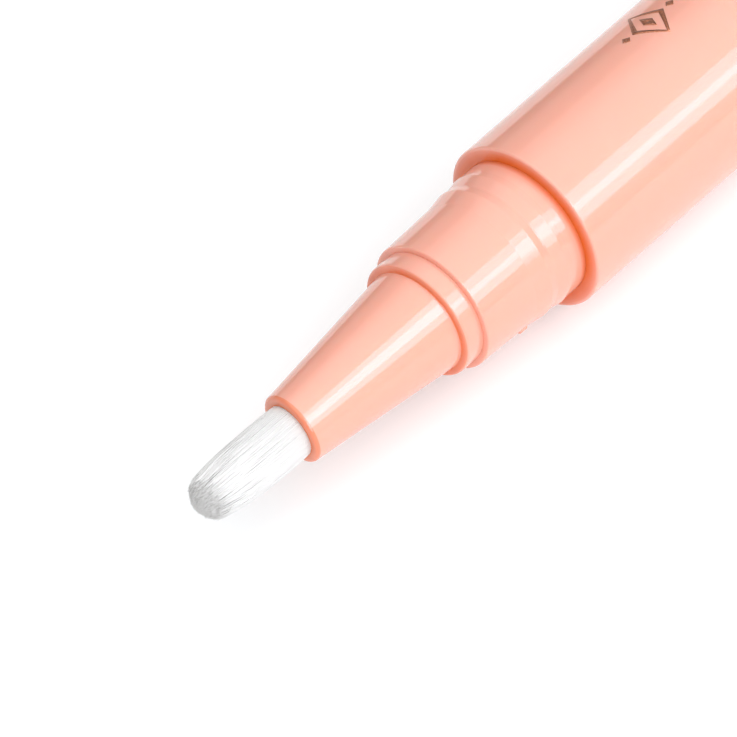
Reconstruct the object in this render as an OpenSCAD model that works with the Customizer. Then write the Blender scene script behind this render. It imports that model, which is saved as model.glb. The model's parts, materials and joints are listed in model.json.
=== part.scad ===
// Twist-up nail oil pen, lying along +X with its brush toward -X and its cap pulled off ahead of it.
// Every piece is drawn along z, with the front rim of the barrel at 0 and the rear end at +z,
// and on_axis() then lays it down. Lengths are in millimetres.

/* [Barrel] */
// Outside radius of the barrel, the knob and the cap
barrel_r = 6; // [5.5:0.1:8]
// Wall of the barrel
barrel_wall = 1; // [0.8:0.05:1.3]
// Length of the barrel
barrel_l = 82.13; // [72:0.01:100]
// Rounding of the outer edges of the barrel
barrel_edge = 0.15; // [0.1:0.05:0.5]
// Rounding of the edges where the barrel and the knob meet
joint_edge = 0.25; // [0.2:0.05:0.5]
// Width of each key in the bore
key_w = 0.9; // [0.6:0.1:1.4]
// Height of each key above the bore
key_h = 0.25; // [0.15:0.05:0.3]
// Number of keys round the bore
key_count = 4; // [2:1:6]

/* [Reservoir and neck] */
// Wall of the reservoir behind the neck
reservoir_wall = 0.87; // [0.6:0.01:1.1]
// Length of the neck ahead of the barrel
neck_l = 8.91; // [8:0.01:12]
// Radius of the bore through the neck
neck_bore_r = 3.2; // [2.8:0.05:3.4]
// How far the front of the neck lies inside the bore of the barrel
neck_front_drop = 0.38; // [0.3:0.01:0.6]
// How far the rear of the neck lies inside the bore of the barrel
neck_rear_drop = 0.25; // [0.1:0.01:0.3]
// Rounding of the neck's front edge
neck_edge = 0.15; // [0.05:0.05:0.3]
// Length of the front bead
front_bead_l = 1.3; // [1:0.01:1.6]
// Length of the slope up to the crest of the front bead
front_bead_ramp = 0.8; // [0.5:0.01:0.85]
// How far the front bead lies inside the bore of the barrel
front_bead_drop = 0.06; // [0:0.01:0.1]
// Length of the rear bead
rear_bead_l = 0.97; // [0.8:0.01:1.3]
// Length of the slope up to the crest of the rear bead
rear_bead_ramp = 0.65; // [0.4:0.01:0.7]
// How far the rear bead stands out of the bore of the barrel
rear_bead_rise = 0.01; // [0:0.01:0.1]
// Length of the dip between the beads
bead_gap = 0.6; // [0.4:0.01:0.8]
// How far the dip lies inside the bore of the barrel
bead_gap_drop = 0.14; // [0.12:0.01:0.25]
// Distance from the rear bead to the rim of the barrel
bead_setback = 1.53; // [1.2:0.01:2]
// Run of the steep side behind the rear bead
bead_slope = 0.12; // [0.05:0.01:0.2]
// Length of the nub on the neck
nub_l = 0.7; // [0.4:0.1:1]
// Radius of the nub
nub_r = 0.3; // [0.2:0.05:0.5]
// How far the nub stands out of the neck
nub_h = 0.1; // [0.05:0.01:0.15]
// Distance from the nub to the front bead
nub_setback = 0.25; // [0.2:0.05:0.6]

/* [Nozzle] */
// Length of the cone
cone_l = 12.08; // [9:0.01:16]
// Length of the rounded lip ahead of the cone
lip_l = 0.2; // [0.1:0.01:0.4]
// Wall of the lip round its socket
lip_wall = 0.4; // [0.34:0.01:0.6]
// Radius of the socket for the brush
socket_r = 2.02; // [1.8:0.01:2.2]
// Slant of the mouth, in degrees
mouth_slant = 6; // [0:0.5:12]
// Which way the short side of the mouth faces, in degrees from straight down toward +Y
short_side_angle = 70; // [0:5:355]
// Depth of the socket for the brush
socket_l = 6.93; // [6.5:0.01:8]
// Radius of the collar
collar_r = 4.19; // [4:0.01:4.3]
// Length of the collar
collar_l = 1.47; // [1:0.01:2]
// How far the rear of the cone lies inside the collar
collar_step = 0.51; // [0.3:0.01:0.6]
// Rounding of the collar's front edge
collar_edge = 0.2; // [0.05:0.01:0.3]
// Length of the plug that goes into the neck
plug_l = 4.8; // [4:0.1:6]
// Radius of the oil way through the nozzle
oil_way_r = 1.2; // [1:0.05:1.4]
// Thickness of the seal in the neck
nozzle_seal_d = 0.84; // [0.6:0.02:1]

/* [Brush] */
// Length of the brush that shows ahead of the lip
brush_l = 8.31; // [6:0.01:11]
// Radius of the brush at the lip
brush_r = 1.94; // [1.74:0.01:1.96]
// Radius of the bound root of the brush
root_r = 1.58; // [1.4:0.01:1.65]
// Length of the rounded end of the brush
brush_dome_l = 1.7; // [1:0.1:2.5]
// Depth below the lip at which the strands leave their backing
backing_depth = 0.45; // [0.3:0.05:0.8]
// Thickness of the fused backing
backing_l = 0.9; // [0.6:0.1:1.2]
// Length of the cone between the backing and the bound root
root_cone_l = 1.4; // [1:0.1:1.8]
// Strands along each side of the pattern, which is drawn as a square and bent to a disc
strand_rows = 18; // [18:1:22]
// Most that a strand falls short of the brush's outline
strand_scatter = 0.3; // [0:0.05:0.5]

/* [Feed] */
// Outside radius of the feed tube
feed_r = 0.5; // [0.4:0.05:0.6]
// Wall of the feed tube
feed_wall = 0.2; // [0.1:0.05:0.25]
// How far the feed tube runs on behind the nozzle
feed_tail_l = 1.2; // [0.5:0.1:2]
// Length of the metering plug
metering_l = 3.5; // [2:0.1:3.8]

/* [Piston] */
// Length of the piston
piston_l = 7; // [6:0.1:9]
// Length of each sliding lip
piston_lip_l = 0.8; // [0.5:0.1:1.2]
// How far the piston's waist lies inside its lips
piston_waist_drop = 0.25; // [0.1:0.05:0.4]
// Thickness of the piston's seal
piston_seal_d = 0.9; // [0.6:0.05:1]
// Where the emptied piston stops, behind the rim of the barrel
piston_stop = 2.73; // [1.5:0.01:5]
// Space between the filled piston and the nut
piston_setback = 1; // [0.5:0.1:3]

/* [Threaded rod and nut] */
// Advance of the thread in one turn
pitch = 1.8; // [1.5:0.1:2.2]
// Radius over the thread
thread_r = 1.9; // [1.7:0.05:2]
// Depth of the thread
thread_depth = 0.55; // [0.4:0.05:0.6]
// Clearance between the threads of the rod and the nut
thread_clear = 0.1; // [0.06:0.01:0.14]
// Radius of the stem that goes into the piston
stem_r = 0.95; // [0.8:0.05:1]
// Radius of the disc that snaps into the piston
snap_r = 1.25; // [1.2:0.05:1.3]
// Length of the disc that snaps into the piston
snap_l = 1.2; // [0.8:0.1:1.5]
// Length of the stem
stem_l = 2.2; // [1.5:0.1:3]
// Half the width across the rod's square head
head_half = 1.93; // [1.91:0.01:2]
// Length of the square head
head_l = 3; // [2:0.1:4]
// Length of the nut's thread
nut_thread_l = 6.8; // [5:0.1:8]
// Length of the spigot that goes into the reservoir
spigot_l = 2; // [1.5:0.1:3]
// Depth of the nut's recess for the drive sleeve
nut_recess_l = 1.2; // [0.8:0.1:2]
// What is left of the rod's travel when it stops
travel_spare = 0.6; // [0.3:0.1:1]

/* [Drive sleeve and ratchet] */
// Clearance on each side of the rod in the square channel
channel_clear = 0.07; // [0.05:0.01:0.1]
// Radius that rounds the corners of the square channel
channel_corner_r = 2.6; // [2.5:0.05:2.65]
// Radius of the sleeve's front journal
journal_r = 3.2; // [3.1:0.05:3.3]
// Radius of the sleeve behind the ratchet
sleeve_r = 3.5; // [3.4:0.05:3.6]
// How far each driving flat lies inside its round
flat_drop = 0.3; // [0.2:0.05:0.35]
// Radius of the collar that holds the sleeve in
sleeve_collar_r = 4.3; // [4.1:0.1:4.5]
// Length of the collar that holds the sleeve in
sleeve_collar_l = 1.7; // [1:0.1:3]
// Length of the ratchet ring
ratchet_l = 4; // [3.6:0.1:5]
// Number of ratchet teeth, one click each
tooth_count = 24; // [18:1:30]
// Radius at the tips of the ratchet teeth
tooth_tip_r = 4.1; // [4.08:0.01:4.14]
// Depth of the ratchet teeth
tooth_depth = 0.3; // [0.25:0.01:0.3]
// Length of the pawl
pawl_l = 3.2; // [2.5:0.1:3.3]
// Wall of the pawl's hub
pawl_hub_wall = 0.33; // [0.25:0.01:0.36]
// Thickness of each springy arm
pawl_arm_t = 0.34; // [0.28:0.01:0.36]
// Ratchet teeth that each springy arm spans
pawl_arm_teeth = 7; // [5:1:8]

/* [Rear bearing and knob] */
// Length of the rear bush
bush_l = 6.8; // [4:0.1:10]
// Length of the knob
knob_l = 12.8; // [10:0.1:18]
// Gap between the barrel and the knob
knob_gap = 0.15; // [0.1:0.01:0.3]
// Length of the knob's boss inside the barrel
boss_l = 3; // [2.4:0.1:5]
// Clearance between the boss and the bore of the barrel
boss_clear = 0.2; // [0.1:0.01:0.25]
// Thickness of the knob's seal
knob_seal_d = 0.76; // [0.6:0.02:0.8]
// Outer wall of the knob
knob_wall = 1; // [0.8:0.05:1.2]
// Wall of the knob's hub round the sleeve
knob_hub_wall = 0.75; // [0.6:0.05:0.9]
// Thickness of the knob's front web
knob_web_l = 2; // [1.5:0.1:3]
// Thickness of the end disc
disc_t = 1.2; // [0.8:0.1:1.6]
// Width of the ledge that the end disc rests on
disc_ledge = 0.2; // [0.1:0.05:0.3]
// Number of grip flutes
flute_count = 24; // [12:1:32]
// Radius of each grip flute
flute_r = 0.35; // [0.25:0.05:0.45]
// Depth of each grip flute
flute_depth = 0.15; // [0.08:0.01:0.2]
// Plain band at each end of the flutes
flute_margin = 1.6; // [1:0.1:3]
// Rounding of the knob's rear edge and the cap's front edge
end_edge = 0.5; // [0.2:0.1:0.8]

/* [Cap] */
// Clearance between the cap and the rear bead
cap_clear = 0.05; // [0.03:0.01:0.1]
// Gap between the closed cap and the barrel
cap_gap = 0.15; // [0.1:0.01:0.3]
// Distance from the mouth of the pulled-off cap to the tip of the brush
cap_parted = 35; // [26:1:60]
// Radial space between the liner and the nozzle's cone
liner_space = 0.5; // [0.3:0.05:0.6]
// Clearance between the liner and the nozzle's collar
liner_clear = 0.12; // [0.08:0.01:0.2]
// Radius of the liner's bore round the brush
liner_bore_r = 3; // [2.9:0.05:3.1]
// Space ahead of the brush in the closed cap
tip_space = 4.63; // [1:0.01:8]
// Thickness of the liner's closed end
liner_end_t = 0.9; // [0.6:0.1:1.5]
// Thickness of the cap's closed end
cap_end_t = 1.8; // [1.5:0.1:4]
// Wall of the cap ahead of its inner step
cap_front_wall = 1.5; // [1.2:0.05:1.6]
// Depth of the cap's inner step behind its mouth
cap_step_depth = 20; // [17:0.5:24]

/* [Fits] */
// Clearance between pieces that are pressed or glued together
seat_clear = 0.02; // [0.01:0.01:0.03]
// Clearance between pieces that turn or slide
run_clear = 0.05; // [0.03:0.01:0.08]
// Gap along the axis between pieces that pass or face each other
end_clear = 0.1; // [0.05:0.01:0.2]

/* [Hidden] */
$fn = 72;
overrun = 1;
edge_steps = 5;

// Radii
bore_r = barrel_r - barrel_wall;
tube_r = bore_r - seat_clear;
oil_r = tube_r - reservoir_wall;
neck_front_r = bore_r - neck_front_drop;
neck_rear_r = bore_r - neck_rear_drop;
front_bead_r = bore_r - front_bead_drop;
rear_bead_r = bore_r + rear_bead_rise;
bead_gap_r = bore_r - bead_gap_drop;
plug_r = neck_bore_r - run_clear;
lip_r = socket_r + lip_wall;
cone_rear_r = collar_r - collar_step;
cone_slope = (cone_rear_r - lip_r) / cone_l;
piston_r = oil_r - run_clear;
core_r = thread_r - thread_depth;
channel_half = head_half + channel_clear;
head_corner_r = channel_corner_r - channel_clear;
pawl_hub_r = journal_r + seat_clear + pawl_hub_wall;
pawl_arm_r = tooth_tip_r - run_clear;
tooth_root_r = tooth_tip_r + tooth_depth;
boss_r = bore_r - boss_clear;
sleeve_bore_r = sleeve_r + run_clear;
hub_r = sleeve_r + seat_clear + knob_hub_wall;
disc_r = barrel_r - knob_wall - seat_clear;
cap_bore_r = rear_bead_r + cap_clear;
liner_r = cap_bore_r - seat_clear;
cap_front_bore_r = barrel_r - cap_front_wall;
liner_front_r = cap_front_bore_r - seat_clear;

// Stations of the neck, nozzle and brush, counted from the rim of the barrel
rear_bead_end = -bead_setback;
rear_bead_start = rear_bead_end - rear_bead_l;
front_bead_end = rear_bead_start - bead_gap;
front_bead_start = front_bead_end - front_bead_l;
neck_front = -neck_l;
plug_end = neck_front + plug_l;
cone_rear = neck_front - collar_l;
cone_front = cone_rear - cone_l;
lip_front = cone_front - lip_l;
socket_end = lip_front + socket_l;
backing_front = lip_front + backing_depth;
ferrule_front = backing_front + backing_l + root_cone_l;
brush_tip = lip_front - brush_l;
metering_end = plug_end - end_clear;
feed_end = plug_end + feed_tail_l;

// Stations of the screw drive, worked out from the ends of the pen
knob_front = barrel_l + knob_gap;
knob_end = knob_front + knob_l;
disc_front = knob_end - disc_t;
sleeve_end = disc_front - 2 * end_clear;
rod_end = sleeve_end - 5.5 * end_clear;
head_front = rod_end - head_l;
stroke = (head_front - travel_spare - nut_thread_l - piston_setback - piston_l - piston_stop) / 2;
piston_front = piston_stop + stroke;
piston_end = piston_front + piston_l;
nut_front = piston_end + piston_setback;
nut_thread_end = nut_front + nut_thread_l;
nut_end = nut_thread_end + nut_recess_l;
reservoir_end = nut_front + spigot_l;
thread_front = piston_end + end_clear;
snap_end = thread_front - stem_l;
snap_front = snap_end - snap_l;
sleeve_front = nut_thread_end + end_clear;
pawl_front = nut_end + 4 * end_clear;
pawl_end = pawl_front + pawl_l;
ratchet_end = nut_end + ratchet_l;
shoulder = pawl_end + end_clear;
boss_front = barrel_l - boss_l;
bush_end = boss_front - 2 * end_clear;
bush_front = bush_end - bush_l;
sleeve_collar_end = bush_front - end_clear;
sleeve_collar_start = sleeve_collar_end - sleeve_collar_l;
key_front = reservoir_end;
key_end = bush_end;
turns = stroke / pitch;

// Stations of the cap, pulled off
cap_l = -brush_tip - cap_gap + tip_space + liner_end_t + cap_end_t + end_clear;
cap_mouth = brush_tip - cap_parted;
cap_end = cap_mouth - cap_l;
cap_travel = -cap_gap - cap_mouth;
cap_step = cap_mouth - cap_step_depth;
liner_mouth = cap_mouth + cap_gap + cone_rear + collar_l - 3 * end_clear;
liner_cone_rear = cap_mouth + cap_gap + cone_rear - end_clear;
liner_end = cap_end + cap_end_t + end_clear;

// Frame: the axis lies one radius above the table, and the whole length is centred on x = 0
axis_z = barrel_r;
frame_x = -(cap_end + knob_end) / 2;

peach = [0.996, 0.80, 0.72];
peach_deep = [0.98, 0.76, 0.67];
white = [0.98, 0.98, 0.97];
clear_white = [0.93, 0.94, 0.95];
grey = [0.62, 0.64, 0.66];
seal_grey = [0.35, 0.36, 0.38];

// Points of a quarter round about [r, z], from angle a on
function quarter(r, z, edge, a) = [
    for (i = [0:edge_steps]) [r + edge * cos(a + 90 * i / edge_steps), z + edge * sin(a + 90 * i / edge_steps)]
];

// Points of a square groove for a seal of thickness d, which rubs on a wall of radius wall_r
function seal_groove(surface_r, wall_r, d, z) = [
    [surface_r, z - d / 2 - seat_clear],
    [wall_r - run_clear - d, z - d / 2 - seat_clear],
    [wall_r - run_clear - d, z + d / 2 + seat_clear],
    [surface_r, z + d / 2 + seat_clear]
];

// Points of a bead: a slope that rounds over to the crest, the crest, and a fall behind it
ramp_shares = [[0, 0], [0.35, 0.5], [0.7, 0.85], [1, 1]];
function bead(start, ramp, end, fall, r, front_r, rear_r) = concat(
    [for (share = ramp_shares) [front_r + share[1] * (r - front_r), start + share[0] * ramp]],
    [
        [r, end],
        [rear_r, end + fall]
    ]
);

// Lays a piece along the pen's axis
module on_axis() {
    translate([frame_x, 0, axis_z]) rotate([0, 90, 0]) children();
}

// A body turned from [radius, station] points
module turned(points) {
    rotate_extrude() polygon(points);
}

// A round bar from one station to another
module bar(start, end, r) {
    translate([0, 0, start]) cylinder(r = r, h = end - start);
}

// A square bar with rounded corners, from one station to another
module square_bar(start, end, half, corner_r) {
    intersection() {
        bar(start, end, corner_r);
        translate([-half, -half, start]) cube([2 * half, 2 * half, end - start]);
    }
}

// A round bar with two flats, from one station to another
module flatted_bar(start, end, r, flat) {
    intersection() {
        bar(start, end, r);
        translate([-flat, -r - overrun, start]) cube([2 * flat, 2 * (r + overrun), end - start]);
    }
}

// The keys of the barrel, or the grooves that fit them
module keys(start, end, clear) {
    for (i = [0:key_count - 1])
        rotate([0, 0, 360 * i / key_count])
            translate([bore_r - key_h - clear, -key_w / 2 - clear, start])
                cube([key_h + clear + barrel_wall / 2, key_w + 2 * clear, end - start]);
}

// A bar that fits the bore of the barrel and its keys
module keyed_bar(start, end) {
    difference() {
        bar(start, end, tube_r);
        keys(start - overrun, end + overrun, seat_clear);
    }
}

// A seal ring of thickness d that rubs on a wall of radius wall_r
module seal_ring(wall_r, d, z) {
    translate([0, 0, z]) rotate_extrude() translate([wall_r - run_clear - d / 2, 0]) circle(d = d);
}

// Faces whose three corners differ, turned to face outward
function sound_faces(points, faces) = [
    for (f = faces)
        if (points[f[0]] != points[f[1]] && points[f[1]] != points[f[2]] && points[f[2]] != points[f[0]])
            [f[2], f[1], f[0]]
];

// A right-hand screw between two stations, whose flanks stand out by clear
thread_columns = 16;
flank_shares = [0, 0.2, 0.42, 0.62];
module screw(start, end, clear) {
    root = core_r + clear;
    crest = thread_r + clear;
    first = floor(start / pitch) - 1;
    last = ceil(end / pitch) + 1;
    rows = 4 * (last - first);
    function station(j, k) =
        pitch * (first + floor(k / 4) + flank_shares[k % 4] + j / thread_columns) + (k % 4 < 2 ? -clear : clear);
    function rise(j, k) = k % 4 == 1 || k % 4 == 2 ? crest - root : 0;
    points = concat(
        [
            for (j = [0:thread_columns - 1]) for (k = [0:rows - 1])
                let (z = min(max(station(j, k), start), end))
                let (r = root + min(rise(j, k), z - start, end - z))
                [r * cos(360 * j / thread_columns), r * sin(360 * j / thread_columns), z]
        ],
        [[0, 0, start], [0, 0, end]]
    );
    function at(j, k) = j < thread_columns ? j * rows + k : k + 4;
    function far_at(j, k) = j < thread_columns ? j * rows + rows - 1 - k : rows - 1;
    hub = thread_columns * rows;
    faces = concat(
        [
            for (j = [0:thread_columns - 1]) for (k = [0:rows - 2])
                if (j < thread_columns - 1 || k < rows - 5)
                    for (f = [[at(j, k), at(j + 1, k), at(j + 1, k + 1)], [at(j, k), at(j + 1, k + 1), at(j, k + 1)]]) f
        ],
        [for (j = [0:thread_columns - 1]) [hub, at(j + 1, 0), at(j, 0)]],
        [for (j = [0:thread_columns - 1]) [hub + 1, far_at(j, 0), far_at(j + 1, 0)]]
    );
    polyhedron(points, sound_faces(points, faces));
}

// A place in the square from -1 to 1, sent to the disc of radius 1 so that every cell keeps its share
function disc_place(a, b) =
    a == 0 && b == 0 ? [0, 0]
    : abs(a) > abs(b) ? a * [cos(45 * b / a), sin(45 * b / a)]
    : b * [sin(45 * a / b), cos(45 * a / b)];

// A scattered number from 0 to 1
function scatter(i) = let (v = 437.58 * sin(78.233 * i)) v - floor(v);

// The tuft, drawn with its strands along +z and the front of its backing at 0
strand_corner_shares = [[0.2, 0.22], [0.8, 0.22], [0.5, 0.82]];
strand_row_shares = [0, 0.5, 0.86];
strand_width_shares = [1, 0.92, 0.7];
brush_taper_share = 0.16;
module strands_and_root() {
    n = strand_rows;
    span = brush_l + backing_depth;
    function spread(z) = 1 - brush_taper_share * pow(z / span, 2);
    function node_place(i, j) = brush_r * disc_place(2 * i / n - 1, 2 * j / n - 1);
    function cell_place(i, j, s, t) =
        (1 - s) * (1 - t) * node_place(i, j) + s * (1 - t) * node_place(i + 1, j)
        + s * t * node_place(i + 1, j + 1) + (1 - s) * t * node_place(i, j + 1);
    function strand_l(i, j) =
        let (share = norm(cell_place(i, j, 0.5, 0.5)) / brush_r)
        span - brush_dome_l * (1 - pow(1 - pow(share, 3), 1 / 3)) - strand_scatter * scatter(i * n + j + 1);
    function strand_point(i, j, corner, row) =
        let (z = strand_row_shares[row] * strand_l(i, j))
        let (middle = cell_place(i, j, 0.5, 0.5))
        let (place = cell_place(i, j, strand_corner_shares[corner][0], strand_corner_shares[corner][1]))
        let (xy = spread(z) * middle + strand_width_shares[row] * (place - middle))
        [xy[0], xy[1], z];
    function strand_tip(i, j) =
        let (z = strand_l(i, j))
        let (xy = spread(z) * cell_place(i, j, 0.5, 0.5))
        [xy[0], xy[1], z];
    side = [for (i = [0:n - 1]) i];
    rim = concat(
        [for (i = side) [i, 0]], [for (i = side) [n, i]],
        [for (i = side) [n - i, n]], [for (i = side) [0, n - i]]
    );
    rings = [[brush_r, -backing_l], [root_r, backing_front - ferrule_front], [root_r, backing_front - socket_end + end_clear]];
    grid_points = [for (i = [0:n]) for (j = [0:n]) let (p = node_place(i, j)) [p[0], p[1], 0]];
    strand_points = [
        for (i = [0:n - 1]) for (j = [0:n - 1])
            for (m = [0:9])
                m < 9 ? strand_point(i, j, m % 3, floor(m / 3)) : strand_tip(i, j)
    ];
    ring_points = [
        for (ring = rings) for (c = rim)
            let (p = node_place(c[0], c[1]) * ring[0] / brush_r) [p[0], p[1], ring[1]]
    ];
    points = concat(grid_points, strand_points, ring_points, [[0, 0, rings[2][1]]]);
    function grid(i, j) = i * (n + 1) + j;
    function strand(i, j, m) = len(grid_points) + 10 * (i * n + j) + m;
    function round(ring, c) =
        ring == 0 ? grid(rim[c % len(rim)][0], rim[c % len(rim)][1])
        : len(grid_points) + len(strand_points) + (ring - 1) * len(rim) + c % len(rim);
    cell_faces = [
        for (i = [0:n - 1]) for (j = [0:n - 1])
            let (q = [grid(i, j), grid(i + 1, j), grid(i + 1, j + 1), grid(i, j + 1)])
            let (t = [strand(i, j, 0), strand(i, j, 1), strand(i, j, 2)])
            for (f = [
                [q[0], q[1], t[0]], [q[1], t[1], t[0]], [q[1], q[2], t[1]], [q[2], t[2], t[1]],
                [q[2], q[3], t[2]], [q[3], t[0], t[2]], [q[3], q[0], t[0]]
            ]) f
    ];
    strand_faces = [
        for (i = [0:n - 1]) for (j = [0:n - 1]) for (row = [0:2]) for (m = [0:2])
            let (a = strand(i, j, 3 * row + m))
            let (b = strand(i, j, 3 * row + (m + 1) % 3))
            for (f = row < 2 ? [[a, b, b + 3], [a, b + 3, a + 3]] : [[a, b, strand(i, j, 9)]]) f
    ];
    root_faces = [
        for (ring = [0:2]) for (c = [0:len(rim) - 1])
            for (f = [
                [round(ring + 1, c), round(ring + 1, c + 1), round(ring, c + 1)],
                [round(ring + 1, c), round(ring, c + 1), round(ring, c)]
            ]) f
    ];
    end_faces = [for (c = [0:len(rim) - 1]) [len(points) - 1, round(3, c + 1), round(3, c)]];
    polyhedron(points, sound_faces(points, concat(cell_faces, strand_faces, root_faces, end_faces)));
}

module barrel() {
    color(peach) on_axis() {
        turned(concat(
            [[bore_r, 0]],
            quarter(barrel_r - barrel_edge, barrel_edge, barrel_edge, -90),
            quarter(barrel_r - joint_edge, barrel_l - joint_edge, joint_edge, 0),
            [[bore_r, barrel_l]]
        ));
        keys(key_front, key_end, 0);
    }
}

module reservoir() {
    color(peach) on_axis() {
        turned(concat(
            [[neck_bore_r, neck_front]],
            quarter(neck_front_r - neck_edge, neck_front + neck_edge, neck_edge, -90),
            bead(
                front_bead_start, front_bead_ramp, front_bead_end, bead_gap - bead_slope,
                front_bead_r, neck_rear_r, bead_gap_r
            ),
            bead(
                rear_bead_start, rear_bead_ramp, rear_bead_end, bead_slope,
                rear_bead_r, bead_gap_r, tube_r
            ),
            [
                [tube_r, reservoir_end],
                [oil_r, reservoir_end],
                [oil_r, 0],
                [neck_bore_r, neck_bore_r - oil_r]
            ]
        ));
        neck_nub();
    }
}

// The nub stands low on the -Y side of the neck
nub_angle = -60;
module neck_nub() {
    rotate([0, 0, nub_angle])
        translate([neck_rear_r + nub_h - nub_r, 0, 0])
            bar(front_bead_start - nub_setback - nub_l, front_bead_start - nub_setback, nub_r);
}

module nozzle() {
    seal_z = neck_front + plug_l / 2;
    color(peach) on_axis() intersection() {
        turned(concat(
            [
                [socket_r, lip_front],
                [lip_r - cone_slope * lip_l, lip_front],
                [cone_rear_r, cone_rear]
            ],
            quarter(collar_r - collar_edge, cone_rear + collar_edge, collar_edge, -90),
            [
                [collar_r, neck_front],
                [plug_r, neck_front]
            ],
            seal_groove(plug_r, neck_bore_r, nozzle_seal_d, seal_z),
            [
                [plug_r, plug_end],
                [oil_way_r, plug_end],
                [oil_way_r, socket_end],
                [socket_r, socket_end]
            ]
        ));
        mouth_end();
    }
}

// All that lies behind the slanted mouth with its rounded edge, out to a flare that clears the cone.
// The edge follows the cone on the short side and the long side because it is set over by mouth_shift.
mouth_flare = 0.4;
module mouth_end() {
    lean = tan(mouth_slant);
    mouth_shift = (lip_l + cone_slope * lip_r) * lean;
    mouth_r = lip_r * (1 + cone_slope * lean) / cos(mouth_slant) + 1.5 * seat_clear;
    reach = plug_end + overrun - lip_front;
    translate([0, 0, lip_front + lip_r * lean])
        rotate([0, -mouth_slant, short_side_angle])
            translate([mouth_shift, 0, 0])
                turned(concat(
                    [[0, 0]],
                    quarter(mouth_r - lip_l, lip_l, lip_l, -90),
                    [
                        [mouth_r + mouth_flare * reach, lip_l + reach],
                        [0, lip_l + reach]
                    ]
                ));
}

module brush_tuft() {
    color(white) on_axis() translate([0, 0, backing_front]) rotate([180, 0, 0]) strands_and_root();
}

module brush_ferrule() {
    color(clear_white) on_axis() difference() {
        bar(ferrule_front, socket_end, socket_r - seat_clear);
        bar(ferrule_front - overrun, socket_end + overrun, root_r + seat_clear);
    }
}

module feed_tube() {
    color(clear_white) on_axis() difference() {
        bar(socket_end, feed_end, feed_r);
        bar(socket_end - overrun, feed_end + overrun, feed_r - feed_wall);
    }
}

module metering_plug() {
    color(grey) on_axis() difference() {
        bar(metering_end - metering_l, metering_end, oil_way_r - seat_clear);
        bar(metering_end - metering_l - overrun, metering_end + overrun, feed_r + seat_clear);
    }
}

module nozzle_seal() {
    color(seal_grey) on_axis() seal_ring(neck_bore_r, nozzle_seal_d, neck_front + plug_l / 2);
}

module piston() {
    waist_r = piston_r - piston_waist_drop;
    color(white) on_axis() difference() {
        turned(concat(
            [
                [0, piston_front],
                [neck_bore_r, piston_front],
                [piston_r, piston_front + piston_r - neck_bore_r],
                [piston_r, piston_front + piston_r - neck_bore_r + piston_lip_l],
                [waist_r, piston_front + piston_r - neck_bore_r + piston_lip_l + piston_waist_drop]
            ],
            seal_groove(waist_r, oil_r, piston_seal_d, piston_front + piston_l / 2),
            [
                [waist_r, piston_end - piston_lip_l - piston_waist_drop],
                [piston_r, piston_end - piston_lip_l],
                [piston_r, piston_end],
                [0, piston_end]
            ]
        ));
        bar(snap_front - run_clear, snap_end + run_clear, snap_r + run_clear);
        bar(snap_front, piston_end + overrun, stem_r + run_clear);
    }
}

module piston_seal() {
    color(seal_grey) on_axis() seal_ring(oil_r, piston_seal_d, piston_front + piston_l / 2);
}

module threaded_rod() {
    color(white) on_axis() {
        bar(snap_front, snap_end, snap_r);
        bar(snap_front, thread_front + thread_depth, stem_r);
        screw(thread_front, head_front + thread_depth, 0);
        square_bar(head_front, rod_end, head_half, head_corner_r);
    }
}

module rod_nut() {
    color(clear_white) on_axis() difference() {
        union() {
            bar(nut_front, reservoir_end + overrun, oil_r - seat_clear);
            keyed_bar(reservoir_end, nut_end);
        }
        screw(nut_front - overrun, nut_thread_end + nut_recess_l / 2, thread_clear);
        bar(nut_thread_end, nut_end + overrun, journal_r + run_clear);
    }
}

module ratchet_ring() {
    corners = [
        for (i = [0:tooth_count - 1])
            for (r = [tooth_root_r, tooth_tip_r])
                r * [cos(360 * i / tooth_count), sin(360 * i / tooth_count)]
    ];
    color(clear_white) on_axis() difference() {
        keyed_bar(nut_end, ratchet_end);
        translate([0, 0, nut_end - overrun])
            linear_extrude(height = ratchet_l + 2 * overrun) polygon(corners);
    }
}

// A wedge of the plane between two angles less than half a turn apart
module wedge(a, b) {
    far = 2 * barrel_r;
    polygon([
        [0, 0],
        far * [cos(a), sin(a)],
        far * [cos((a + b) / 2), sin((a + b) / 2)],
        far * [cos(b), sin(b)]
    ]);
}

// The pawl's thickness, given to a flat shape
module pawl_slab() {
    translate([0, 0, pawl_front]) linear_extrude(height = pawl_l) children();
}

module ring_2d(outer, inner) {
    difference() {
        circle(r = outer);
        circle(r = inner);
    }
}

// One springy arm: its root on the hub, its strip and its tooth
arm_root_angle = 14;
tooth_back_angle = 9;
module pawl_arm() {
    tooth_a = 360 * pawl_arm_teeth / tooth_count - asin(run_clear / tooth_tip_r);
    back_a = tooth_a - tooth_back_angle;
    inner = pawl_arm_r - pawl_arm_t;
    pawl_slab() intersection() {
        ring_2d(pawl_arm_r, pawl_hub_r - pawl_hub_wall / 2);
        wedge(0, arm_root_angle);
    }
    pawl_slab() intersection() {
        ring_2d(pawl_arm_r, inner);
        wedge(0, tooth_a);
    }
    pawl_slab() polygon([
        inner * [cos(back_a), sin(back_a)],
        pawl_arm_r * [cos(back_a), sin(back_a)],
        (tooth_root_r - 2 * run_clear) * [cos(tooth_a), sin(tooth_a)],
        inner * [cos(tooth_a), sin(tooth_a)]
    ]);
}

module ratchet_pawl() {
    color(grey) on_axis() {
        difference() {
            bar(pawl_front, pawl_end, pawl_hub_r);
            flatted_bar(
                pawl_front - overrun, pawl_end + overrun, journal_r + seat_clear, journal_r - flat_drop + seat_clear
            );
        }
        pawl_arm();
        rotate(360 * floor(tooth_count / 2) / tooth_count) pawl_arm();
    }
}

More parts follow.
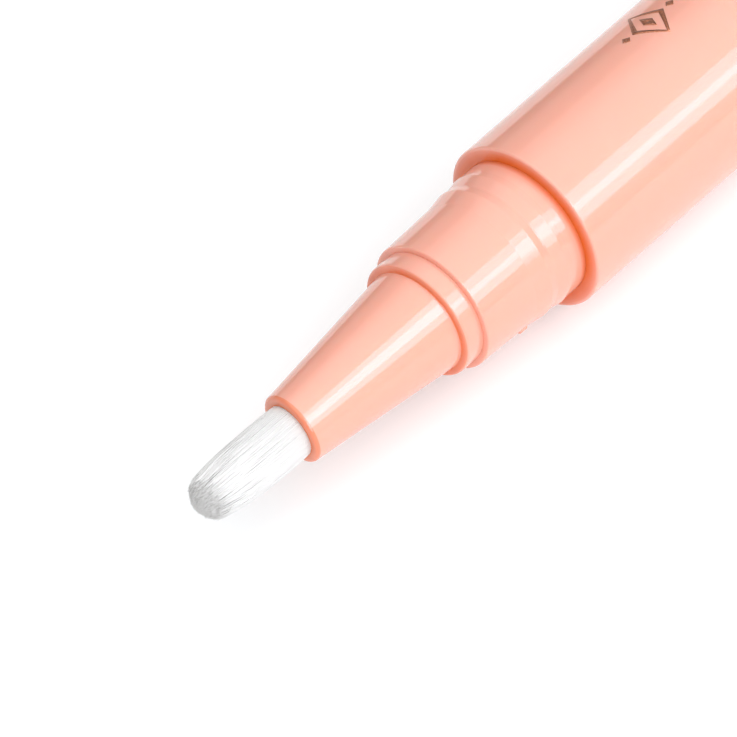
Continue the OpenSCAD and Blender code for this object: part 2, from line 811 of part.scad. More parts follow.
module drive_sleeve() {
    color(white) on_axis() difference() {
        union() {
            bar(sleeve_front, pawl_front - end_clear, journal_r);
            flatted_bar(pawl_front - 2 * end_clear, shoulder + end_clear, journal_r, journal_r - flat_drop);
            bar(shoulder, knob_front, sleeve_r);
            bar(sleeve_collar_start, sleeve_collar_end, sleeve_collar_r);
            flatted_bar(knob_front - end_clear, sleeve_end, sleeve_r, sleeve_r - flat_drop);
        }
        square_bar(sleeve_front - overrun, sleeve_end + overrun, channel_half, channel_corner_r);
    }
}

module rear_bush() {
    color(clear_white) on_axis() difference() {
        keyed_bar(bush_front, bush_end);
        bar(bush_front - overrun, bush_end + overrun, sleeve_bore_r);
    }
}

module knob() {
    hub_end = disc_front;
    web_end = knob_front + knob_web_l;
    seal_z = boss_front + boss_l / 2;
    color(peach_deep) on_axis() difference() {
        turned(concat(
            [[0, boss_front], [boss_r, boss_front]],
            seal_groove(boss_r, bore_r, knob_seal_d, seal_z),
            [[boss_r, knob_front]],
            quarter(barrel_r - joint_edge, knob_front + joint_edge, joint_edge, -90),
            quarter(barrel_r - end_edge, knob_end - end_edge, end_edge, 0),
            [[0, knob_end]]
        ));
        bar(disc_front, knob_end + overrun, disc_r + seat_clear);
        difference() {
            bar(web_end, knob_end, disc_r - disc_ledge);
            bar(web_end - overrun, knob_end + overrun, hub_r);
        }
        bar(boss_front - overrun, knob_front, sleeve_r + seat_clear);
        flatted_bar(knob_front - end_clear, hub_end + overrun, sleeve_r + seat_clear, sleeve_r - flat_drop + seat_clear);
        for (i = [0:flute_count - 1])
            rotate([0, 0, 360 * i / flute_count])
                translate([barrel_r + flute_r - flute_depth, 0, 0])
                    bar(knob_front + flute_margin, knob_end - flute_margin, flute_r);
    }
}

module knob_seal() {
    color(seal_grey) on_axis() seal_ring(bore_r, knob_seal_d, boss_front + boss_l / 2);
}

module knob_end_disc() {
    color(peach) on_axis() bar(disc_front, knob_end, disc_r);
}

module cap_shell() {
    color(peach) on_axis() turned(concat(
        [[0, cap_end]],
        quarter(barrel_r - end_edge, cap_end + end_edge, end_edge, -90),
        quarter(barrel_r - barrel_edge, cap_mouth - barrel_edge, barrel_edge, 0),
        [
            [cap_bore_r, cap_mouth],
            [cap_bore_r, cap_step],
            [cap_front_bore_r, cap_step],
            [cap_front_bore_r, cap_end + cap_end_t],
            [0, cap_end + cap_end_t]
        ]
    ));
}

module cap_liner() {
    liner_bore_start = liner_cone_rear - (cone_rear_r + liner_space - liner_bore_r) / cone_slope;
    color(white) on_axis() turned([
        [0, liner_end],
        [liner_front_r, liner_end],
        [liner_front_r, cap_step + seat_clear],
        [liner_r, cap_step + seat_clear],
        [liner_r, liner_mouth],
        [collar_r + liner_clear, liner_mouth],
        [collar_r + liner_clear, liner_cone_rear],
        [cone_rear_r + liner_space, liner_cone_rear],
        [liner_bore_r, liner_bore_start],
        [liner_bore_r, liner_end + liner_end_t],
        [0, liner_end + liner_end_t]
    ]);
}

barrel();
reservoir();
nozzle();
brush_tuft();
brush_ferrule();
feed_tube();
metering_plug();
nozzle_seal();
piston();
piston_seal();
threaded_rod();
rod_nut();
ratchet_ring();
ratchet_pawl();
drive_sleeve();
rear_bush();
knob();
knob_seal();
knob_end_disc();
cap_shell();
cap_liner();
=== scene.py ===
# %% [markdown]
# # A twist-up nail oil pen
# The pen lies uncapped on a white table: a white brush, a peach cone and neck, and a plain peach
# barrel with a twist knob at its far end. Its cap lies pulled off, in line with it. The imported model
# gives every size and joint, and this script gives each visible piece its fine shape and finish.

# %% Load the fixed frame
import json

import bpy
import numpy as np
from mathutils import Matrix, Vector


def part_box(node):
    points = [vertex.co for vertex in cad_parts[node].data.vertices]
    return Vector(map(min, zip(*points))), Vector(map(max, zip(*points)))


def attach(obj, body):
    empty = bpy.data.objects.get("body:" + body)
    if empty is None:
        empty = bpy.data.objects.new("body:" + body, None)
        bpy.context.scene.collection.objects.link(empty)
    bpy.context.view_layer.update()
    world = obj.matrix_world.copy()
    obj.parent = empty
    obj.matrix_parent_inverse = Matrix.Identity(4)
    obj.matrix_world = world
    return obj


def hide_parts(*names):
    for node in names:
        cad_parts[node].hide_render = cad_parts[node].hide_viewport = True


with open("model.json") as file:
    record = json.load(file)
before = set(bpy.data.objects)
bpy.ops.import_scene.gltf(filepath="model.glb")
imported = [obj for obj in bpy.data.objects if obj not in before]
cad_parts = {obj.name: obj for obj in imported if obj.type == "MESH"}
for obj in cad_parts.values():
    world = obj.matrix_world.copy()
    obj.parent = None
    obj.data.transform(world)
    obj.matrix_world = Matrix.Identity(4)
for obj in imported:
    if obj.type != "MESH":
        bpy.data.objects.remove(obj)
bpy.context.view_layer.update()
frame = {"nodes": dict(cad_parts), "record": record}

# %% [markdown]
# ## One measure for the whole pen
# Nearly all of the pen is turned about one axis, so a place on it is a station along the axis and a
# radius, both in millimetres. Stations count from the barrel's rim, where the neck comes out, and
# grow toward the knob. All of them could be typed in, but the rim's place and the main radii are
# read from the frame instead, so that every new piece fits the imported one.

# %% Stations, radii and millimetres
MM = 0.001
low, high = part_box("barrel")
RIM = Vector((low.x, (low.y + high.y) / 2, (low.z + high.z) / 2))


def span(node):
    """Front station, rear station and largest radius of a turned node, in millimetres."""
    low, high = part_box(node)
    return (low.x - RIM.x) / MM, (high.x - RIM.x) / MM, (high.z - low.z) / 2 / MM


_, barrel_rear, barrel_r = span("barrel")
neck_front, reservoir_rear, _ = span("reservoir")
_, plug_rear, collar_r = span("nozzle")
boss_front, knob_rear, _ = span("knob")
disc_front, _, disc_r = span("knob_end_disc")
cap_end, cap_mouth, _ = span("cap_shell")
liner_end, liner_mouth, liner_r = span("cap_liner")
brush_tip, brush_root, _ = span("brush_tuft")
print(f"barrel {barrel_rear:.2f} mm long, radius {barrel_r:.2f} mm, rim at {RIM.x / MM:.2f} mm")

# %% [markdown]
# ## The camera
# The picture was taken from in front and above, with a long lens, so that the barrel's two sides
# look parallel. A camera can be turned by hand until the view fits. Here it is three directions, to
# the right, up, and back toward the lens, which come from one azimuth and one elevation, so that
# each can be corrected by itself. Lens and distance set how many millimetres the frame holds.

# %% Place the camera
AZIMUTH, ELEVATION = np.radians(-49.2), np.radians(48.65)
FIELD = 46.06 * MM
LENS, SENSOR = 800, 36
AIM = Vector((-6.8, 3.1, 0.1)) * MM

back = Vector((
    np.sin(AZIMUTH) * np.cos(ELEVATION),
    -np.cos(AZIMUTH) * np.cos(ELEVATION),
    np.sin(ELEVATION),
))
right = Vector((np.cos(AZIMUTH), np.sin(AZIMUTH), 0))
camera_data = bpy.data.cameras.new("camera")
camera_data.lens, camera_data.sensor_width = LENS, SENSOR
distance = FIELD * LENS / SENSOR
camera = bpy.data.objects.new("camera", camera_data)
camera.matrix_world = Matrix.Translation(AIM + back * distance) @ (
    Matrix((right, back.cross(right), back)).transposed().to_4x4()
)
bpy.context.scene.collection.objects.link(camera)
bpy.context.scene.camera = camera
print(f"camera {distance:.3f} m from the pen")

# %% [markdown]
# ## Shader maths as plain expressions
# A finish is a small network of nodes. It could be wired by hand in the shader editor, but a script
# is easier to follow where it reads as arithmetic. So a value that varies over the surface is held
# in a Wire, whose plus, minus and times add the matching Math nodes. Every other node comes from one
# method that takes its type, its settings and what goes into its sockets.

# %% A wire and a network
class Wire:
    """A socket that gives a number. Arithmetic on it adds Math nodes."""

    def __init__(self, network, socket):
        self.network, self.socket = network, socket

    def math(self, operation, *values):
        """The result of a Math node on these values, in the same network."""
        return self.network.node("ShaderNodeMath", {"operation": operation}, dict(enumerate(values)))

    def __add__(self, other):
        return self.math("ADD", self, other)

    def __sub__(self, other):
        return self.math("SUBTRACT", self, other)

    def __rsub__(self, other):
        return self.math("SUBTRACT", other, self)

    def __mul__(self, other):
        return self.math("MULTIPLY", self, other)

    __radd__, __rmul__ = __add__, __mul__


class Network:
    """Nodes in one tree. Each is made by its type, its settings and the values of its sockets."""

    def __init__(self, tree):
        self.tree = tree

    def node(self, kind, settings=None, inputs=None, output=0):
        """Adds a node, sets it up, links wires and writes values into its sockets."""
        made = self.tree.nodes.new(kind)
        for name, value in (settings or {}).items():
            setattr(made, name, value)
        for socket, value in (inputs or {}).items():
            if isinstance(value, Wire):
                self.tree.links.new(value.socket, made.inputs[socket])
            else:
                made.inputs[socket].default_value = value
        return Wire(self, made.outputs[output])


# %% [markdown]
# ## What every finish shares
# Real plastic, rubber, nylon and foil differ in colour and gloss, but none of them is quite even over
# its surface. Each could get a network of its own. They share one class instead: it sets the plain
# sockets of a Principled shader, and offers noise, blending and bumps as short calls.

# %% A finish
class Finish(Network):
    """A material around one Principled shader. Plain sockets are set, and wired ones are fed."""

    def __init__(self, name, **plain):
        self.material = bpy.data.materials.new(name)
        self.material.use_nodes = True
        super().__init__(self.material.node_tree)
        self.shader = self.tree.nodes["Principled BSDF"]
        for socket, value in plain.items():
            self.shader.inputs[socket.replace("_", " ")].default_value = value

    def feed(self, socket, wire):
        """Links a wire to a socket of the shader."""
        self.tree.links.new(wire.socket, self.shader.inputs[socket])

    def place(self, scale=(1, 1, 1)):
        """The point's own place in millimetres from the rim's centre, stretched by scale."""
        spot = self.node("ShaderNodeTexCoord", output="Object")
        stretch = [s / MM for s in scale]
        shift = [-s * c for s, c in zip(stretch, RIM)]
        return self.node(
            "ShaderNodeMapping",
            None,
            {"Vector": spot, "Location": shift, "Scale": stretch},
        )

    def noise(self, size, place=None, detail=2.0):
        """Soft random values round 0.5, with blobs about size millimetres across."""
        return self.node(
            "ShaderNodeTexNoise",
            None,
            {"Vector": place or self.place(), "Scale": 1 / size, "Detail": detail},
        )

    def blend(self, share, first, second):
        """A colour that goes from first to second as share goes from 0 to 1."""
        ends = [end if isinstance(end, Wire) else (*end, 1) for end in (first, second)]
        sockets = {0: share, 6: ends[0], 7: ends[1]}
        return self.node("ShaderNodeMix", {"data_type": "RGBA"}, sockets, 2)

    def bump(self, height, depth):
        """A normal from a height of 0 to 1 that stands for depth millimetres."""
        return self.node("ShaderNodeBump", None, {"Height": height, "Distance": depth * MM})


# %% [markdown]
# ## Peach plastic
# The shell pieces are glossy polypropylene, tinted peach all the way through. Light goes a little
# way into it and comes out redder, and its edges and inner corners look deep orange. One flat colour
# would look like paint. So subsurface scattering carries light under the skin, painted shade stored
# on the mesh turns the colour deep orange in corners and on end faces, in place of the shade there
# and the light that bounces to and fro between walls, and a faint unevenness in colour and gloss
# keeps the surface from looking like a computer's.

# %% Mix the plastics
# Painted shade: a mesh attribute turns the colour toward this deep orange in corners and on end faces.
PAINTED_SHADE_ATTRIBUTE = "painted_shade"
PAINTED_SHADE_ORANGE = (0.78, 0.15, 0.02)
CLOUD_SIZE, GLOSS_SIZE, RIPPLE_SIZE, RIPPLE_DEPTH = 3.0, 0.8, 2.5, 0.006
GLOSS_SPREAD = 0.04
MOULD_FLOW = (0.15, 1, 1)


def peach_plastic(name, light, deep, roughness):
    """Tinted glossy plastic: cloudy between two near colours, with a slow ripple from moulding.

    The attribute of painted shade says how far the colour has turned to deep orange, in place of shade
    and bounced light: 0 on open skin and 1 in inner corners. The ripple's noise is stretched along the
    pen, as plastic flows in a mould."""
    finish = Finish(
        name,
        Subsurface_Weight=0.2,
        Subsurface_Radius=(1.0, 0.22, 0.1),
        Subsurface_Scale=0.5 * MM,
        IOR=1.5,
        Specular_IOR_Level=0.6,
    )
    clouds = finish.noise(CLOUD_SIZE)
    skin = finish.blend(clouds, deep, light)
    # Painted shade: the mesh attribute mixes in the deep orange where shade and bounced light would
    # fall.
    painted_shade = finish.node("ShaderNodeAttribute", {"attribute_name": PAINTED_SHADE_ATTRIBUTE}, output="Fac")
    finish.feed("Base Color", finish.blend(painted_shade, skin, PAINTED_SHADE_ORANGE))
    finish.feed("Roughness", roughness + GLOSS_SPREAD * finish.noise(GLOSS_SIZE))
    ripple = finish.noise(RIPPLE_SIZE, finish.place(MOULD_FLOW), detail=1.0)
    finish.feed("Normal", finish.bump(ripple, RIPPLE_DEPTH))
    return finish.material


PEACH_LIGHT, PEACH_DEEP = (0.915, 0.436, 0.337), (0.91, 0.42, 0.32)
KNOB_LIGHT, KNOB_DEEP = (0.92, 0.432, 0.32), (0.91, 0.41, 0.3)
barrel_plastic = peach_plastic("barrel_plastic", PEACH_LIGHT, PEACH_DEEP, 0.07)
neck_plastic = peach_plastic("neck_plastic", PEACH_LIGHT, PEACH_DEEP, 0.06)
knob_plastic = peach_plastic("knob_plastic", KNOB_LIGHT, KNOB_DEEP, 0.16)
print("plastics:", barrel_plastic.name, neck_plastic.name, knob_plastic.name)

# %% [markdown]
# ## Short steps on long sides
# A turned skin needs rows only where its outline bends. A piece that is shaped further after it is
# turned, such as the nozzle's slanted mouth or the knob's flutes, needs some on its long sides too. A
# Subdivision modifier would add them everywhere. This helper adds them only to long sides.

# %% Split long sides
def split_sides(rows, step, closed):
    """Adds evenly spaced rows on every side that is longer than step."""
    rows = np.vstack([rows, rows[:1]]) if closed else rows
    lengths = np.linalg.norm(np.diff(rows[:, :2], axis=0), axis=1)
    pieces = np.maximum(1, np.ceil(lengths / step)).astype(int)
    side = np.repeat(np.arange(len(lengths)), pieces)
    share = (np.arange(len(side)) - np.repeat(np.cumsum(pieces) - pieces, pieces)) / pieces[side]
    split = rows[side] + share[:, None] * (rows[side + 1] - rows[side])
    return split if closed else np.vstack([split, rows[-1:]])


square = np.array([[0, 0], [0, 1], [1, 1], [1, 0]], float)
print("a square in half steps has", len(split_sides(square, 0.5, True)), "places")

# %% [markdown]
# ## From an outline to a turned skin
# A lathe turns a flat outline about an axis. Blender's Screw and Bevel modifiers could do it. Here
# the outline is a short list of corners, each with its own rounding, and every corner becomes an arc
# that touches both of its sides. That way the arc's exact direction can be kept as the surface's
# normal, so highlights stay smooth on long flat sides. A corner may also carry painted shade, which
# turns the colour deep orange where shade and bounced light would. A corner that only marks a change
# of painted shade on a straight side is set a thousandth of a millimetre off it, as a straight line
# has no angle to round.

# %% Round the corners of an outline
ARC_STEPS = 9
SHARP, OFF_LINE = 0.02, 0.001


def unit(vectors):
    """Vectors scaled to length 1."""
    return vectors / np.linalg.norm(vectors, axis=-1, keepdims=True)


def outline(corners, closed=True, step=None):
    """Rows of station, radius, normal (2) and painted shade along an outline.

    A corner is a station, a radius, a rounding and, where shade is painted in, a painted shade from 0
    to 1. An arc of radius f touches both sides at f / tan(half) from its corner and has its centre at
    f / sin(half) along the middle line, where half is half of the corner's angle. Directions on the
    arc turn evenly from one touching point to the other. Sides longer than step are split evenly."""
    corners = np.array([(*corner, 0)[:4] for corner in corners], float)
    inner = corners if closed else corners[1:-1]
    place, rounding, painted_shade = inner[:, :2], np.maximum(inner[:, 2], SHARP), inner[:, 3]
    ring = np.vstack([corners[-1:], corners, corners[:1]]) if closed else corners
    to_before, to_after = unit(ring[:-2, :2] - place), unit(ring[2:, :2] - place)
    half = np.arccos(np.clip((to_before * to_after).sum(1), -1, 1)) / 2
    centre = place + unit(to_before + to_after) * (rounding / np.sin(half))[:, None]
    first = to_before * (rounding / np.tan(half))[:, None] + place - centre
    last = to_after * (rounding / np.tan(half))[:, None] + place - centre
    turn = (np.pi - 2 * half)[:, None, None]
    share = np.linspace(0, 1, ARC_STEPS)[None, :, None]
    of_first, of_last = np.sin((1 - share) * turn), np.sin(share * turn)
    arc = (of_first * first[:, None] + of_last * last[:, None]) / np.sin(turn)
    outward = np.stack([to_before[:, 1], -to_before[:, 0]], 1)
    side = np.sign((first * outward).sum(1))
    rows = np.concatenate([
        centre[:, None] + arc,
        side[:, None, None] * arc / rounding[:, None, None],
        np.broadcast_to(painted_shade[:, None, None], arc[..., :1].shape),
    ], -1).reshape(-1, 5)
    if not closed:
        ends = rows[[0, -1]].copy()
        ends[:, :2], ends[:, 4] = corners[[0, -1], :2], corners[[0, -1], 3]
        rows = np.vstack([ends[:1], rows, ends[1:]])
    return split_sides(rows, step, closed) if step else rows


trial = outline([(0, 1, 0.1), (0, 2, 0.1), (1, 2, 0.1), (1, 1, 0.1)])
print("a square ring's outline, rounded:", len(trial), "places")

# %% [markdown]
# ## Put a grid into a mesh
# A skin is a grid of points: one direction runs along the outline and the other round the pen. It
# could be built face by face with bmesh, but whole arrays are shorter to write and quick to run.
# Where a row lies on the axis, its points are one point, and the squares there become triangles.

# %% Faces and meshes
def grid_faces(index, wrap_rows):
    """Faces between neighbouring rows and columns of a grid of vertex numbers. Columns always wrap."""
    rows = index if not wrap_rows else np.vstack([index, index[:1]])
    here, along = rows[:-1], rows[1:]
    quads = np.stack([here, along, np.roll(along, -1, 1), np.roll(here, -1, 1)], -1).reshape(-1, 4)
    front, rear = quads[:, 0] == quads[:, 3], quads[:, 1] == quads[:, 2]
    triangles = np.vstack([quads[front][:, :3], quads[rear][:, [0, 1, 3]]])
    return quads[~front & ~rear].tolist() + triangles.tolist()


def new_piece(name, points, faces, normals=None, painted_shade=None):
    """A mesh object at the origin, with its place in its mesh, shaded smooth."""
    mesh = bpy.data.meshes.new(name)
    mesh.from_pydata(points, [], faces)
    mesh.shade_smooth()
    # Painted shade of corners, kept on the points for the finish to read.
    if painted_shade is not None:
        mesh.attributes.new(PAINTED_SHADE_ATTRIBUTE, "FLOAT", "POINT").data.foreach_set("value", painted_shade)
    if normals is not None:
        mesh.normals_split_custom_set_from_vertices(normals)
    mesh.validate()
    made = bpy.data.objects.new(name, mesh)
    bpy.context.scene.collection.objects.link(made)
    return made


small_grid = np.array([[0, 1, 2], [3, 4, 5]])
print("a grid of 2 rows by 3 columns has", len(grid_faces(small_grid, False)), "faces")

# %% [markdown]
# ## Turn a skin and dress it
# Every turned piece is made in the same two steps. Each could repeat them in its own cell, but a
# lathe is one tool for many pieces. So one helper turns an outline about the pen's axis, or about an
# axis beside it, and another gives the piece its finish and says what it rides on and stands for.

# %% Turn and dress
def around(stations, radii, angles):
    """Points in metres at stations and radii in millimetres. Angle 0 is straight up, and 90 is +Y."""
    return np.stack([
        RIM.x + stations * MM + 0 * angles,
        RIM.y + radii * MM * np.sin(angles),
        RIM.z + radii * MM * np.cos(angles),
    ], -1)


def turned(name, corners, closed=True, columns=192, step=None, shape=None, axis=(0, 0)):
    """A turned skin. Point (i, j) is place i of the outline turned by angle j.

    shape(stations, radii, angles) gives the stations and radii of a piece that isn't simply turned.
    The piece's own axis lies beside the pen's by axis, toward +Y and up, in millimetres."""
    rows = outline(corners, closed, step)
    angles = np.linspace(0, 2 * np.pi, columns, endpoint=False)[None, :]
    stations, radii, along, outward, painted_shade = (rows[:, i : i + 1] for i in range(5))
    poles = radii[:, 0] < SHARP / 2
    if shape:
        stations, radii = shape(stations, radii, angles)
    points = around(stations, radii, angles) + np.array([0, *axis]) * MM
    facing = np.stack([along + 0 * angles, outward * np.sin(angles), outward * np.cos(angles)], -1)
    index = np.arange(points[..., 0].size).reshape(points.shape[:2])
    index[poles] = index[poles][:, :1]
    used, flat = np.unique(index, return_inverse=True)
    return new_piece(
        name,
        points.reshape(-1, 3)[used],
        grid_faces(flat.reshape(index.shape), closed),
        None if shape else facing.reshape(-1, 3)[used],
        (painted_shade + 0 * angles).reshape(-1)[used],
    )


def dress(piece, finish, body, slot, *nodes):
    """Gives a piece its finish and its body, and hides the nodes that it stands for. Its slot is not
    used.
    """
    piece.data.materials.append(finish)
    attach(piece, body)
    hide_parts(*nodes)
    print(f"{piece.name}: {len(piece.data.polygons)} faces on {body}")


# %% [markdown]
# ## Barrel
# The barrel is one moulded tube with a flat end face. A cylinder with a bevel would give its shape,
# but its outline can also carry painted shade: deep orange on the end faces, most toward the bore,
# where shade and bounced light fall. The outer edge is only just rounded, which draws a fine bright
# line round the rim, and the inner edge stays crisp. Where the knob meets the barrel both have a
# rounder edge, so that a small groove shows which part turns. The bore's wall lies a hair inside the
# neck's tube, so no gap shows.

# %% Barrel
WALL = 1.0
BORE_R = barrel_r - WALL
BORE_WALL_R = BORE_R - 0.025
EDGE, JOINT_EDGE = 0.14, 0.25
PAINTED_SHADE_FADE = 0.6
# Fourth numbers are painted shade: deep orange on the end faces, most at the bore, fading out along
# the skin near each end.
barrel = turned("barrel_tube", [
    (0, BORE_WALL_R, SHARP, 1),
    (OFF_LINE, BORE_R + WALL / 4, SHARP, 0.93),
    (0, BORE_R + WALL / 2, SHARP, 0.76),
    (OFF_LINE, BORE_R + WALL * 3 / 4, SHARP, 0.42),
    (0, barrel_r, EDGE),
    (PAINTED_SHADE_FADE, barrel_r + OFF_LINE, SHARP),
    (barrel_rear - PAINTED_SHADE_FADE, barrel_r, SHARP),
    (barrel_rear, barrel_r, JOINT_EDGE, 0.05),
    (barrel_rear, BORE_WALL_R, SHARP, 1),
])
dress(barrel, barrel_plastic, "barrel_body", "peach_plastic", "barrel")

# %% [markdown]
# ## Neck
# The neck is the front of the oil reservoir. It widens slightly toward the rim and carries two low
# rings, which the cap clips over. Each ring climbs slowly, rounds over and falls away behind, so it
# catches a separate glint of the long light. Rings could be pieces of their own, but the mould makes
# them in one with the neck, and one outline leaves no seam where they meet it.

# %% Neck
FIT = 0.02
NECK_BORE_R, TUBE_R, OIL_R = 3.2, BORE_R - FIT, BORE_R - 0.89
FRONT_R, REAR_R = BORE_R - 0.38, BORE_R - 0.25
FRONT_RING_R, DIP_R, REAR_RING_R = BORE_R - 0.06, BORE_R - 0.14, BORE_R + 0.01
FRONT_FACE_R = collar_r + 0.16
FRONT_FADE, DIP_FRONT, CREST_FRONT = 0.18, 0.12, 0.05
FRONT_RING_L, REAR_RING_L = 1.25, 0.4
front_ring, dip, rear_ring = -4.4, -2.5, -1.53
# Painted shade: the colour turns deep orange on the front face and, from these stations on, toward the
# rim's corner, where shade and bounced light fall.
painted_shade_front, painted_shade_middle, painted_shade_rear = -0.43, -0.14, 0.1
neck = turned("neck_sleeve", [
    (neck_front, NECK_BORE_R, SHARP, 0.6),
    (neck_front + OFF_LINE, collar_r, SHARP, 0.3),
    (neck_front, FRONT_FACE_R, SHARP, 0.06),
    (neck_front + OFF_LINE, FRONT_R, 0.12),
    (neck_front + FRONT_FADE, FRONT_R + 4 * OFF_LINE, SHARP),
    (front_ring, REAR_R, 0.3),
    (front_ring + FRONT_RING_L, FRONT_RING_R, 0.12),
    (dip - DIP_FRONT, DIP_R, 0.12),
    (dip, DIP_R, 0.05),
    (rear_ring - CREST_FRONT, REAR_RING_R, 0.1),
    (rear_ring + REAR_RING_L, TUBE_R, 0.2),
    (painted_shade_front, TUBE_R - OFF_LINE, SHARP),
    (painted_shade_middle, TUBE_R, SHARP, 0.7),
    (painted_shade_rear, TUBE_R - OFF_LINE, SHARP, 1),
    (reservoir_rear, TUBE_R, 0.05, 1),
    (reservoir_rear, OIL_R, 0.05),
    (0, OIL_R, 0.3),
    (NECK_BORE_R - OIL_R, NECK_BORE_R, 0.3),
])
dress(neck, neck_plastic, "barrel_body", "peach_neck", "reservoir")

# %% [markdown]
# ## Nub
# A small nub on the low side of the neck keys the cap. It could be raised out of the neck's own
# skin. A short turned pin beside the pen's axis is simpler: it is sunk into the neck, so that only
# its top stands proud, and where two closed skins pass through each other no seam has to be cut.

# %% Nub
NUB_R, NUB_L, NUB_EDGE, NUB_PROUD, NUB_GAP = 0.3, 0.7, 0.1, 0.1, 0.25
NUB_ANGLE = np.radians(-120)
nub_off = REAR_R + NUB_PROUD - NUB_R
nub_rear = front_ring - NUB_GAP
nub = turned("neck_nub", [
    (nub_rear - NUB_L, 0, 0),
    (nub_rear - NUB_L, NUB_R, NUB_EDGE),
    (nub_rear, NUB_R, NUB_EDGE),
    (nub_rear, 0, 0),
], closed=False, columns=32, axis=(nub_off * np.sin(NUB_ANGLE), nub_off * np.cos(NUB_ANGLE)))
dress(nub, neck_plastic, "barrel_body", "peach_neck", "reservoir")

# %% [markdown]
# ## Nozzle
# The nozzle is a straight cone with a rounded lip that holds the brush, and a thin collar that meets
# the neck. Behind the collar a plug goes into the neck, with a groove for its seal. The mouth is cut
# at a slight slant, so the cone is longer on one side. A boolean cut would leave ragged faces and a
# hard edge, so the piece is turned first, and then each place near the mouth is set back by as much
# as the slant asks. That keeps the lip's rounding the same all the way round.

# %% Slanted mouth
LIP_R, MOUTH_R, SOCKET_R, OIL_WAY_R, PLUG_R = 2.42, 1.8, 2.02, 1.2, 3.15
COLLAR_L, CONE_L, LIP_L = 1.47, 12.08, 0.2
LIP_ROUND, COLLAR_STEP = 0.28, 0.51
MOUTH_SLANT, SHORT_SIDE = np.radians(8), np.radians(125)
SLANT_FADE, SLANT_EASE = 3.0, 1.5
cone_rear = neck_front - COLLAR_L
lip_front = cone_rear - CONE_L - LIP_L
cone_rear_r = collar_r - COLLAR_STEP
cone_slope = (cone_rear_r - LIP_R) / CONE_L


def slanted_mouth(stations, radii, angles):
    """Sets each place back by the tangent of the slant times its way across from the long side.

    That fades out over the first few millimetres, and the outside stays on its cone."""
    share = np.clip(1 - (stations - lip_front) / SLANT_FADE, 0, 1) ** SLANT_EASE
    back = share * np.tan(MOUTH_SLANT) * (LIP_R + radii * np.cos(angles - SHORT_SIDE))
    outer = np.clip((radii - MOUTH_R) / (LIP_R - MOUTH_R), 0, 1)
    return stations + back, radii + cone_slope * outer * back


print(f"cone {CONE_L} mm long, widening by {cone_slope:.3f} mm of radius a millimetre")

# %% [markdown]
# ## Grooves for seals
# Three rubber rings seal the pen, and two of them lie in grooves of pieces made here. A groove could
# be typed into each outline. One helper does it instead: it reads the seal's place from the frame
# and gives the four corners, so a groove always fits its seal.

# %% Grooves
GROOVE_ROUND = 0.03


def groove(seal, wall_r, floor_r):
    """Four corners of a groove that is longer than its seal by a fit at each end."""
    front, rear, _ = span(seal)
    front, rear = front - FIT, rear + FIT
    places = [(front, wall_r), (front, floor_r), (rear, floor_r), (rear, wall_r)]
    return [(*place, GROOVE_ROUND) for place in places]


PLUG_GROOVE = 0.89
plug_groove = groove("nozzle_seal", PLUG_R, NECK_BORE_R - PLUG_GROOVE)
print(f"groove in the plug from {plug_groove[0][0]:.2f} to {plug_groove[-1][0]:.2f} mm")

# %% [markdown]
# ## Turn the nozzle
# The outline runs from the lip back over cone and collar, along the plug, and forward again through
# the oil way and the brush's socket. With rows only at its corners the slant would be smeared over
# the whole cone, so long sides are split into short steps. The rim of the mouth, the corner between
# cone and collar, and the hollows get the most painted shade, a deep orange in place of the shade
# there and of the light that bounces most there.

# %% Nozzle
MOUTH_L, FLARE_L, SOCKET_L = 0.5, 0.9, 6.93
LIP_DRAFT, LIP_BACK, LIP_GROWTH = 0.01, 0.05, 0.15
CORNER_FADE, COLLAR_EDGE, COLLAR_FRONT, COLLAR_BACK = 0.08, 0.12, 0.25, 0.06
COLLAR_ROUND, COLLAR_SINK = 0.14, 0.05
lip_rear, socket_rear = lip_front + LIP_ROUND + LIP_BACK, lip_front + SOCKET_L
# Fourth numbers are painted shade at the mouth, at the cone's corner with the collar and in the
# hollows.
nozzle = turned("nozzle_cone", [
    (lip_front, MOUTH_R, 0.06, 0.9),
    (lip_front, LIP_R - LIP_DRAFT, LIP_ROUND, 0.6),
    (lip_rear, LIP_R + LIP_GROWTH * cone_slope - OFF_LINE, SHARP),
    (cone_rear - CORNER_FADE, cone_rear_r - CORNER_FADE * cone_slope + OFF_LINE, SHARP, 0.05),
    (cone_rear, cone_rear_r, 0.04, 0.8),
    (cone_rear, collar_r - COLLAR_EDGE, COLLAR_ROUND, 0.5),
    (cone_rear + COLLAR_EDGE, collar_r, COLLAR_ROUND, 0.05),
    (cone_rear + COLLAR_FRONT, collar_r + OFF_LINE, SHARP),
    (neck_front - COLLAR_BACK, collar_r, SHARP),
    (neck_front + COLLAR_SINK, collar_r - OFF_LINE, SHARP, 0.1),
    (neck_front + COLLAR_SINK, PLUG_R, 0.03, 1),
    *plug_groove,
    (plug_rear, PLUG_R, 0.1),
    (plug_rear, OIL_WAY_R, 0.05),
    (socket_rear, OIL_WAY_R, 0.05, 1),
    (socket_rear, SOCKET_R, 0.05, 1),
    (lip_front + FLARE_L, SOCKET_R, 0.05, 1),
    (lip_front + MOUTH_L, MOUTH_R, 0.05, 1),
], step=0.4, shape=slanted_mouth)
dress(nozzle, neck_plastic, "barrel_body", "peach_neck", "nozzle")

# %% [markdown]
# ## Flutes
# The twist knob is as wide as the barrel, and fine flutes give the fingers a hold. They could be cut
# with a row of cylinders, at the price of messy faces. A ball-nosed cutter leaves exactly this shape:
# each flute is the path of a ball along a line, so its depth depends only on the distance to that
# line. The knob's places are moved by that depth, and its grid stays clean.

# %% Flutes
FLUTES, FLUTE_R, FLUTE_DEPTH, FLUTE_MARGIN = 24, 0.35, 0.15, 1.6
JOINT_GAP = 0.15
knob_front = barrel_rear + JOINT_GAP
flute_middle = (knob_front + knob_rear) / 2
flute_half = (knob_rear - knob_front) / 2 - FLUTE_MARGIN


